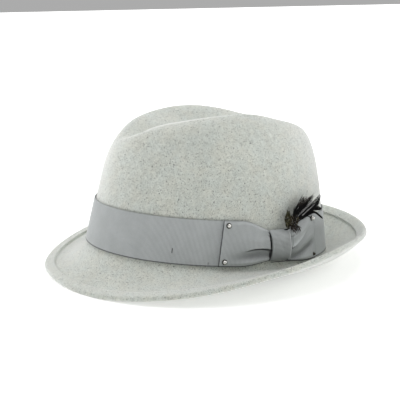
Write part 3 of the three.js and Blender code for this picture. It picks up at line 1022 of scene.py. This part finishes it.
def makeStud(number):
    # the dome, and a dark collar that it is set in
    name = "bow_stud_" + str(number)
    dome = copyOfNode(name, "round_stud_" + str(number))
    refine(dome, "round")
    shadeSmooth(dome)
    corners = [vertex.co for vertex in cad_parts[name].data.vertices]
    middle = sum(corners, Vector()) / len(corners)
    place = headPlace(middle)
    outward = Vector((place.x / hat["crownSide"] ** 2, place.y / hat["crownFront"] ** 2, 0)).normalized()
    outward = headTurn @ (outward * math.cos(hat["wallLean"]) + Vector((0, 0, math.sin(hat["wallLean"]))))
    seat = min(corner.dot(outward) for corner in corners) - middle.dot(outward)
    size = stud["darkStudSize"] if number == stud["darkStud"] else 1
    foot = middle + outward * seat
    for vertex in dome.data.vertices:
        vertex.co = foot + (vertex.co - foot) * size
    deselectAll()
    bpy.ops.mesh.primitive_torus_add(
        major_radius=stud["collar"] * size,
        minor_radius=stud["thick"] * size,
        major_segments=36,
        minor_segments=10,
        location=foot + outward * stud["thick"] * stud["sunk"],
        rotation=outward.to_track_quat("Z", "Y").to_euler(),
    )
    collar = bpy.context.object
    collar.name = collar.data.name = "stud_collar_" + str(number)
    makeActive(collar)
    bpy.ops.object.transform_apply(location=True, rotation=True, scale=True)
    shadeSmooth(collar)
    finishPiece(dome, name, darkMetal if number == stud["darkStud"] else nickel)
    finishPiece(collar, None, darkMetal)


for number in (1, 2, 3, 4):
    makeStud(number)
print("studs made")

# Thread: dark thread beside and under the knot, standing in for shadow, and stitches that hold the band

stitches = dict(
    radius=0.0003,
    # the turns beside the knot and the thread under it are dark threads that stand in for the shadow there
    turns=3,
    steps=48,
    gapFrom=-0.00018,  # ahead of the knot's own edge
    gapStep=0.00026,
    gapSpread=(2.2, 0.3),  # how the turns fan out, below and above
    spreadFade=(0.2, 0.5),
    wander=0.0001,
    below=0.0006,
    above=0.0004,
    depth=0.0005,
    swell=0.0016,
    underKnot=(-0.0108, 0.0088),
    underKnotSteps=32,
    underKnotDepth=0.0044,
    underKnotSwell=0.0008,
    underKnotRadius=0.0004,
    bandStitches=[(-0.0885, 0.0085, 0.0122), (-0.0605, 0.0012, 0.0036)],
    bandSteps=6,
    bandDepth=0.0012,
    bandSwell=0.0004,
    bandRadius=0.00028,
)


def arch(share):
    return math.sin(math.pi * share)


def threadAlong(name, path, radius):
    # a round thread along a list of points, closed at both ends
    curve = bpy.data.curves.new(name, "CURVE")
    curve.dimensions = "3D"
    curve.bevel_depth = radius
    curve.bevel_resolution = 2
    curve.use_fill_caps = True
    line = curve.splines.new("POLY")
    line.points.add(len(path) - 1)
    for point, place in zip(line.points, path):
        point.co = (*place, 1)
    makeActive(newObject(name, curve))
    bpy.ops.object.convert(target="MESH")
    piece = bpy.context.object
    piece.name = piece.data.name = name
    return piece


def makeThreads():
    parts = []
    steps = stitches["steps"]
    # dark turns of thread in the gap between the knot and the front tab, standing in for the shadow in that
    # gap
    for turn in range(stitches["turns"]):
        path = []
        for step in range(steps + 1):
            across = step / steps
            height = mix(bow["knotRise"] + stitches["above"], knotTop - stitches["below"], across)
            fan = mix(*stitches["gapSpread"], smooth(across, *stitches["spreadFade"]))
            spread = stitches["gapStep"] * turn * fan
            wander = stitches["wander"] * math.sin(across * 19 + turn * 2)
            swell = stitches["swell"] * arch(mix(0.04, 0.96, across)) ** 0.4
            distance = knotEdge(-1, height) + stitches["gapFrom"] + spread + wander
            path.append(onWall(-distance, height, bow["inner"] + stitches["depth"] + swell))
        parts.append(threadAlong("gap_shadow_thread_" + str(turn + 1), path, stitches["radius"]))
    # a dark thread along the knot's lower side, standing in for the shadow under it
    path = []
    steps = stitches["underKnotSteps"]
    for step in range(steps + 1):
        depth = stitches["underKnotDepth"] + stitches["underKnotSwell"] * arch(step / steps)
        path.append(onWall(mix(*stitches["underKnot"], step / steps), bow["knotRise"] - stitches["above"], depth))
    parts.append(threadAlong("knot_shadow_thread", path, stitches["underKnotRadius"]))
    for index, (distance, low, high) in enumerate(stitches["bandStitches"]):
        path = []
        for step in range(stitches["bandSteps"] + 1):
            share = step / stitches["bandSteps"]
            depth = stitches["bandDepth"] + stitches["bandSwell"] * arch(share)
            path.append(onWall(distance, mix(low, high, share), depth))
        parts.append(threadAlong("band_stitch_" + str(index + 1), path, stitches["bandRadius"]))
    deselectAll()
    for part in parts:
        part.select_set(True)
    bpy.context.view_layer.objects.active = parts[0]
    bpy.ops.object.join()
    piece = bpy.context.object
    piece.name = piece.data.name = "stitches_and_shadow_threads"
    shadeSmooth(piece)
    finishPiece(piece, None, thread)


makeThreads()
print("threads made")

# Feather: locks of fine barbs that fan out from one root behind the knot

feather = dict(
    root=(0.0065, 0.0295),
    rootStandoff=0.0058,
    standoff=0.0078,
    black=(0.003, 0.003, 0.003),
    soot=(0.03, 0.029, 0.028),
    brown=(0.05, 0.032, 0.022),
    olive=(0.075, 0.075, 0.032),
    tan=(0.3, 0.27, 0.16),
    grey=(0.2, 0.2, 0.2),
    pale=(0.5, 0.5, 0.49),
    ridgeShare=0.6,  # of a strand's width
    ridgeHigh=0.25,
    steps=8,  # along a strand
    strayLift=0.4,
    startsBy=0.22,
    patchStartsBy=0.7,
    patchLength=(0.18, 0.45),
    liftSpread=0.35,
    taper=0.75,
    barbSteps=3,
    barbFrom=(0.1, 0.98),
    barbAhead=0.02,
    barbLift=(-0.2, 0.3),
    barbCurl=0.4,
    barbLean=(5, 26),
    barbLength=(1.6, 4.6),
    barbWidth=0.28,
    barbTaper=0.7,
)

# Each lock lies between two edges that run from the root to its tip, in millimetres back from the root and
# above it. Loose is how far its strands stray, ragged how early they may end, fuzz how many barbs leave its
# edges, lift how far it stands off the layer of the locks, and width a strand's own.
def lock(tint, strands, loose, ragged, fuzz, lift, left, right, width=0.44):
    return dict(tint=tint, strands=strands, loose=loose, ragged=ragged, fuzz=fuzz, lift=lift,
                edges=(left, right), width=width)


locks = [
    lock("black", 42, 0.75, 0.85, 34, 0.1,
         [(1.6, 3.6), (3, 8.8), (4.4, 12), (7.6, 15.4), (11.4, 18.8), (14, 21.4)],
         [(3.4, 3.6), (5.8, 9.4), (9.9, 12.8), (12.9, 15), (14.8, 17.8), (15.6, 20.6)]),
    lock("black", 50, 0.5, 0.6, 34, 0.5,
         [(1.9, 4.1), (5.3, 9.6), (10.6, 14.4), (16.6, 17.4), (23, 20), (29, 22.1)],
         [(4.7, 4.7), (7.9, 8.4), (13.6, 12.2), (19.6, 15.6), (24.8, 18.2), (29.8, 21.2)]),
    lock("quill", 26, 0.1, 0.4, 0, 0.3,
         [(4.2, 5.1), (8.3, 8.8), (13.9, 12), (20, 15.3), (25.1, 17.3), (28.2, 18.4)],
         [(6.4, 5.7), (10.2, 8), (16, 10.6), (21.6, 13.4), (26.9, 15.7), (29.7, 17.4)]),
    lock("black", 66, 0.4, 0.6, 50, 0.4,
         [(6.4, 4.5), (10.6, 7.9), (17, 10.8), (24.1, 14.4), (32.1, 17.8), (41.5, 21.4)],
         [(7.5, 3.3), (13.6, 6.6), (21.7, 10), (30, 11.8), (36.6, 14.4), (42.6, 20.3)]),
    lock("black", 80, 0.15, 0.4, 30, 0.1,
         [(7.5, 4), (13.6, 7.4), (21, 11), (28.5, 13.4), (35.8, 12.4), (43.5, 9.8)],
         [(8, 2.8), (14.7, 5.3), (21.5, 7.8), (28.2, 9.9), (34.6, 9.6), (42.9, 8.4)]),
    lock("black", 76, 0.5, 0.6, 30, 0.2,
         [(19, 11), (27, 13.4), (34, 15.6), (40, 17.6)], [(19, 8.8), (27, 10.8), (34, 11.9), (39.5, 11.4)]),
    lock("down", 60, 0.6, 0.8, 30, 0.2,
         [(7, 14.6), (11, 17.8), (14, 19.8), (17, 21.6)],
         [(11, 13.6), (17, 17), (21, 19.4), (25, 21.2)], 0.24),
    lock("black", 62, 0.15, 0.4, 24, -0.1,
         [(6.9, 3.7), (12.3, 6), (18.2, 8.5), (24.4, 9.9), (30.4, 9.2), (35.2, 7.6)],
         [(7.4, 2.5), (12.9, 4.7), (18, 6), (23.5, 6.9), (28, 7.9), (32.6, 7.3)]),
    lock("black", 14, 0.1, 0.12, 0, 0.1,
         [(26, 9.8), (32.8, 8.3), (37.2, 6.2), (41.8, 3.7), (45.6, 1.3)],
         [(25.6, 8.7), (31.8, 7.3), (36.1, 5.2), (40.5, 2.7), (44.9, 0.9)]),
    lock("black", 4, 0.3, 0.3, 0, -0.1,
         [(20, 6.6), (23, 5.6), (24.5, 4.7), (25.6, 3.9)], [(20, 6.2), (22.8, 5.2), (24.2, 4.3), (25, 3.6)]),
    lock("mottled", 160, 0.5, 0.7, 30, 0.6,
         [(-1, -1.3), (-1.2, 3.5), (-0.4, 6.5), (1.6, 9)],
         [(6.1, -0.5), (7.5, 3.3), (7.6, 6), (6.6, 8.6)], 0.36),
    lock("barred", 150, 0.4, 0.75, 34, 0.3,
         [(-4.2, -1.8), (-5.3, 1.5), (-5.8, 5.4), (-5.3, 8.1), (-4, 10.3), (-2.6, 12.5)],
         [(0.6, -1.6), (1, 1.8), (0.7, 5.3), (-0.1, 7.9), (-0.9, 9.7), (-1.6, 12.1)], 0.34),
    lock("black", 12, 0.1, 0.3, 0, 0.1,
         [(-7, -1.7), (-3.6, -1.7), (0.7, -0.8)], [(-7, -2), (-3.6, -2.5), (0.9, -1.6)]),
    lock("quill", 10, 0.2, 0.5, 0, 0.7,
         [(12, 8), (18, 10.9), (25, 13.7), (32, 16.4)], [(12.8, 7.3), (19, 10), (26, 12.6), (32.8, 15)]),
    lock("down", 80, 0.5, 0.8, 60, -0.1,
         [(2.4, 1.2), (2, -0.9), (2.9, -2.9), (5, -4.9)],
         [(6.4, 1.2), (8.9, -0.8), (9.4, -2.2), (7.8, -4.2)], 0.26),
]

# How often each colour turns up along a strand, for the locks that aren't all black.
featherTints = dict(
    black=(("black", 0.9), ("soot", 1.0)),
    quill=(("pale", 0.5), ("grey", 0.78), ("black", 1.0)),
    mottled=(("black", 0.62), ("brown", 0.86), ("tan", 0.95), ("pale", 1.0)),
    barred=(("black", 0.58), ("olive", 0.86), ("tan", 1.0)),
    down=(("soot", 0.5), ("brown", 0.85), ("black", 1.0)),
)


def featherPoint(back, up, lift):
    # back and up in millimetres from the root, lift in millimetres off the locks' layer
    reach = math.hypot(back, up)
    layer = mix(feather["rootStandoff"], feather["standoff"], smooth(reach, 0, 5))
    return onWall(feather["root"][0] + back / 1000, feather["root"][1] + up / 1000, layer + lift / 1000)


def alongEdge(edge, share):
    place = min(max(share, 0), 1) * (len(edge) - 1)
    low = min(int(place), len(edge) - 2)
    (a, b), (c, d) = edge[low], edge[low + 1]
    return mix(a, c, place - low), mix(b, d, place - low)


def withinLock(row, share, across):
    left, right = alongEdge(row["edges"][0], share), alongEdge(row["edges"][1], share)
    return mix(left[0], right[0], across), mix(left[1], right[1], across)


def tintOf(kind, chance):
    for name, upTo in featherTints[kind]:
        if chance <= upTo:
            return feather[name]
    return feather["black"]


def makeFeather():
    luck = random.Random(7)
    points, tints, faces = [], [], []

    def strand(path, widths, colours):
        # a thin strand with a three-sided section: path holds places in back, up and lift
        start = len(points)
        for index, ((back, up, lift), width) in enumerate(zip(path, widths)):
            ahead = path[min(index + 1, len(path) - 1)]
            behind = path[max(index - 1, 0)]
            run, rise = ahead[0] - behind[0], ahead[1] - behind[1]
            size = math.hypot(run, rise) or 1
            side = (-rise / size * width / 2, run / size * width / 2)
            points.append(featherPoint(back + side[0], up + side[1], lift))
            points.append(featherPoint(back - side[0], up - side[1], lift))
            high = min(width * feather["ridgeShare"], feather["ridgeHigh"])
            points.append(featherPoint(back, up, lift + high))
            tints.extend([colours[index]] * 3)
        for index in range(len(path) - 1):
            base = start + 3 * index
            for i, j in ((0, 1), (1, 2), (2, 0)):
                faces.append((base + i, base + 3 + i, base + 3 + j, base + j))
        faces.append((start, start + 1, start + 2))
        last = start + 3 * (len(path) - 1)
        faces.append((last + 2, last + 1, last))

    for row in locks:
        patchy = row["tint"] in ("mottled", "barred")
        steps = feather["steps"]
        for number in range(row["strands"]):
            across = (number + luck.uniform(0.1, 0.9)) / row["strands"]
            begin = luck.uniform(0, feather["patchStartsBy"] if patchy else feather["startsBy"])
            end = 1 - row["ragged"] * luck.random() ** 2
            if patchy:
                end = min(begin + luck.uniform(*feather["patchLength"]), 1)
            stray = luck.uniform(-1, 1) * row["loose"]
            lift = row["lift"] + luck.uniform(-feather["liftSpread"], feather["liftSpread"])
            shade = luck.random()
            path, widths, colours = [], [], []
            for i in range(steps + 1):
                part = i / steps
                back, up = withinLock(row, mix(begin, end, part), across + stray * part ** 2)
                path.append((back, up, lift + feather["strayLift"] * stray * part))
                widths.append(row["width"] * (1 - feather["taper"] * part ** 2))
                colours.append(tintOf(row["tint"], luck.random() if patchy else shade))
            strand(path, widths, colours)
        steps = feather["barbSteps"]
        for number in range(row["fuzz"]):
            across = luck.choice((0, 1))
            share = luck.uniform(*feather["barbFrom"])
            back, up = withinLock(row, share, across)
            nextBack, nextUp = withinLock(row, share + feather["barbAhead"], across)
            outward = withinLock(row, share, across * 2 - 0.5)
            heading = math.atan2(nextUp - up, nextBack - back)
            away = math.atan2(outward[1] - up, outward[0] - back)
            turn = math.remainder(away - heading, 2 * math.pi)
            lean = math.copysign(math.radians(luck.uniform(*feather["barbLean"])), turn)
            length = luck.uniform(*feather["barbLength"])
            lift = row["lift"] + luck.uniform(*feather["barbLift"])
            colour = tintOf(row["tint"], luck.random() * 0.9)
            path, widths = [], []
            for i in range(steps + 1):
                part = i / steps
                turned = heading + lean * (1 - feather["barbCurl"] * part)
                far = length * part
                path.append((back + math.cos(turned) * far, up + math.sin(turned) * far, lift))
                widths.append(feather["barbWidth"] * (1 - feather["barbTaper"] * part))
            strand(path, widths, [colour] * (steps + 1))

    data = bpy.data.meshes.new("tucked_feather")
    data.from_pydata([tuple(p) for p in points], [], faces)
    piece = newObject("tucked_feather", data)
    paintPoints(piece, "barbTint", tints)
    editAll(piece, bpy.ops.mesh.normals_make_consistent, inside=False)
    shadeSmooth(piece, 80)
    finishPiece(piece, "feather", plumage)


makeFeather()
print("feather made")

# The stage, the light and the camera

stage = dict(
    floor=40.0,
    white=(0.93, 0.93, 0.93),
    overhead=0.455,  # the sky's brightness
    low=0.41,  # and nearer the horizon, with the change between two heights in degrees
    lowUpTo=8,
    overheadFrom=26,
    glowNear=0.36,
    glow=1.0,
    glowFrom=0.4,
    glowTo=1.6,
)


def makeStage():
    deselectAll()
    bpy.ops.mesh.primitive_plane_add(size=stage["floor"], location=(0, 0, 0))
    floor = bpy.context.object
    floor.name = "floor"
    m = Nodes("pale floor")
    m.setValues({"Base Color": (*stage["white"], 1), "Roughness": 0.9, "Specular IOR Level": 0.1,
                 "Emission Color": (1, 1, 1, 1)})
    # painted light: the floor glows, faintly under the hat, which keeps the shadow pale, and more further off
    away = m.add("ShaderNodeVectorMath", {"operation": "LENGTH"})
    m.link(m.objectPlace(), away.inputs[0])
    glow = m.fade(away.outputs["Value"], stage["glowFrom"], stage["glowTo"], stage["glowNear"], stage["glow"])
    m.link(glow, m.shader.inputs["Emission Strength"])
    floor.data.materials.append(m.material)
    sky = Nodes("studio", bpy.data.worlds.new("studio"), "Background")
    heading = sky.tree.nodes.new("ShaderNodeTexCoord").outputs["Generated"]
    split = sky.add("ShaderNodeSeparateXYZ", Vector=heading)
    low = math.sin(math.radians(stage["lowUpTo"]))
    high = math.sin(math.radians(stage["overheadFrom"]))
    sky.setValues({"Color": (1, 1, 1, 1)})
    strength = sky.fade(split.outputs["Z"], low, high, stage["low"], stage["overhead"])
    sky.link(strength, sky.shader.inputs["Strength"])
    bpy.context.scene.world = sky.material


def bearing(azimuth, elevation):
    # a direction seen from the hat: azimuth from its front towards its left side
    az, el = math.radians(azimuth), math.radians(elevation)
    return Vector((math.sin(az) * math.cos(el), -math.cos(az) * math.cos(el), math.sin(el)))


camera = dict(
    azimuth=65.51,
    elevation=15.37,
    roll=math.radians(-0.85),
    distance=0.76,
    focal=884.6,  # in pixels of the photograph
    headAt=(207.65, 240.15),
    frame=400,
    sensor=36,
)


def makeCamera():
    back = bearing(camera["azimuth"], camera["elevation"])
    right = bearing(camera["azimuth"] + 90, 0)
    upward = back.cross(right)
    roll = camera["roll"]
    rolledRight = right * math.cos(roll) + upward * math.sin(roll)
    rolledUp = upward * math.cos(roll) - right * math.sin(roll)
    half = camera["frame"] / 2
    dx = half - camera["headAt"][0]
    dy = camera["headAt"][1] - half
    look = (-back * camera["focal"] + rolledRight * dx + rolledUp * dy).normalized()
    axisRight = look.cross(rolledUp).normalized()
    axisUp = axisRight.cross(look)
    data = bpy.data.cameras.new("view")
    data.sensor_width = camera["sensor"]
    data.lens = camera["focal"] / camera["frame"] * camera["sensor"]
    data.clip_start, data.clip_end = 0.01, 100
    lens = newObject("view", data)
    turn = Matrix((axisRight, axisUp, -look)).transposed()
    lens.matrix_world = Matrix.Translation(headOrigin + back * camera["distance"]) @ turn.to_4x4()
    bpy.context.scene.camera = lens


lamps = {"distance": 1.7, "size": 1.1, "target": (0, 0, 0.05)}
lights = dict(
    left=(-60, 30, 11.5),  # azimuth, elevation and power
    left_front=(-15, 30, 0.7),
    right=(155, 30, 6.7),
    back=(245, 40, 5.5),
    top=(65, 85, 9.0),
)


def makeLights():
    for name, (azimuth, elevation, power) in lights.items():
        away = bearing(azimuth, elevation)
        data = bpy.data.lights.new(name, "AREA")
        data.size = lamps["size"]
        data.energy = power
        lamp = newObject(name, data)
        lamp.location = Vector(lamps["target"]) + away * lamps["distance"]
        lamp.rotation_euler = (-away).to_track_quat("-Z", "Y").to_euler()


makeStage()
makeCamera()
makeLights()
bpy.context.scene.view_settings.view_transform = "Standard"
print("stage made")
